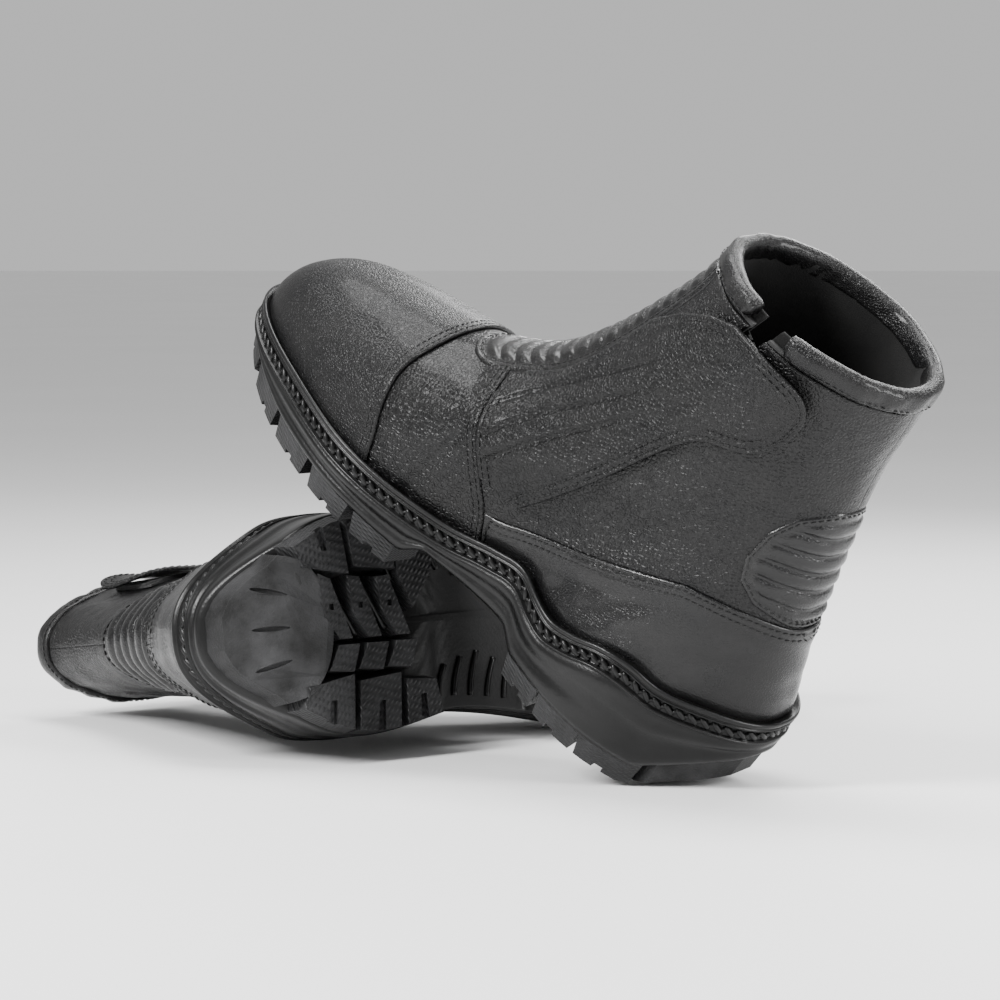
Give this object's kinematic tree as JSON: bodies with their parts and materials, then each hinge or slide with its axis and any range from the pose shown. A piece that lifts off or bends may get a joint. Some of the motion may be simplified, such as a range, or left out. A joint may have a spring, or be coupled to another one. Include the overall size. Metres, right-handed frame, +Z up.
{
  "type": "fire boots",
  "caption": "Pair of short black leather fire boots with lugged rubber soles, a side zip and a closure flap; one boot lies on its side and the other leans on it.",
  "frame": {"origin": "centre of the pair's bounding box, on the surface they rest on", "axes": "+Z up, +X to the right and +Y away from a viewer who sees the lying boot's heel and the leaning boot's outer side"},
  "size_m": [0.3842, 0.3568, 0.2217],
  "materials": {
    "sole_rubber": "matte moulded",
    "grain_leather": "pebbled, semi gloss",
    "smooth_leather": "smooth, glossy",
    "padded_leather": "padded ribs, glossy",
    "binding_leather": "rolled, glossy",
    "flap_leather": "pebbled, semi gloss",
    "lining_suede": "brushed",
    "foam": "open cell",
    "steel": "plain",
    "counter_board": "pressed fibre",
    "fibre_board": "pressed fibre",
    "footbed_fabric": "knitted cover",
    "touch_fastener": "hook and loop",
    "zip_tape": "woven",
    "zip_metal": "dark nickel"
  },
  "bodies": {
    "right_boot": {"right_ankle_panel": "smooth_leather", "right_collar_binding": "binding_leather", "right_footbed": "footbed_fabric", "right_heel_counter": "counter_board", "right_heel_pad": "padded_leather", "right_inner_lining": "lining_suede", "right_inner_quarter": "grain_leather", "right_insole_board": "fibre_board", "right_instep_pad": "padded_leather", "right_interlining": "foam", "right_loop_patch": "touch_fastener", "right_outer_lining": "lining_suede", "right_outer_quarter": "grain_leather", "right_outsole": "sole_rubber", "right_steel_midsole": "steel", "right_steel_shank": "steel", "right_toe_cap": "steel", "right_toe_overlay": "grain_leather", "right_vamp": "grain_leather", "right_zip_stop": "zip_metal", "right_zip_tape_front": "zip_tape", "right_zip_tape_rear": "zip_tape"},
    "right_flap": {"right_closure_flap": "flap_leather", "right_hook_patch": "touch_fastener"},
    "right_slider": {"right_zip_slider": "zip_metal", "right_zip_pull": "zip_metal"},
    "left_boot": {"left_ankle_panel": "smooth_leather", "left_collar_binding": "binding_leather", "left_footbed": "footbed_fabric", "left_heel_counter": "counter_board", "left_heel_pad": "padded_leather", "left_inner_lining": "lining_suede", "left_inner_quarter": "grain_leather", "left_insole_board": "fibre_board", "left_instep_pad": "padded_leather", "left_interlining": "foam", "left_loop_patch": "touch_fastener", "left_outer_lining": "lining_suede", "left_outer_quarter": "grain_leather", "left_outsole": "sole_rubber", "left_steel_midsole": "steel", "left_steel_shank": "steel", "left_toe_cap": "steel", "left_toe_overlay": "grain_leather", "left_vamp": "grain_leather", "left_zip_stop": "zip_metal", "left_zip_tape_front": "zip_tape", "left_zip_tape_rear": "zip_tape"},
    "left_flap": {"left_closure_flap": "flap_leather", "left_hook_patch": "touch_fastener"},
    "left_slider": {"left_zip_slider": "zip_metal", "left_zip_pull": "zip_metal"}
  },
  "joints": [
    {"name": "left_boot_lift", "type": "slide", "parent": "right_boot", "child": "left_boot", "axis": [0, 0, 1], "range_m": [0, 0.25]},
    {"name": "right_flap_hinge", "type": "hinge", "parent": "right_boot", "child": "right_flap", "pos_m": [-0.06594, 0.1435, 0.06558], "axis": [-0.9472, 0.2958, -0.1236], "range_deg": [0, 110]},
    {"name": "right_zip_slide", "type": "slide", "parent": "right_boot", "child": "right_slider", "axis": [0.8463, -0.4786, 0.2339], "range_m": [0, 0.08]},
    {"name": "left_flap_hinge", "type": "hinge", "parent": "left_boot", "child": "left_flap", "pos_m": [0.06032, -0.11065, 0.18003], "axis": [-0.6867, 0.6714, -0.2788], "range_deg": [0, 110]},
    {"name": "left_zip_slide", "type": "slide", "parent": "left_boot", "child": "left_slider", "axis": [-0.6552, 0.5789, -0.4855], "range_m": [0, 0.08]}
  ]
}
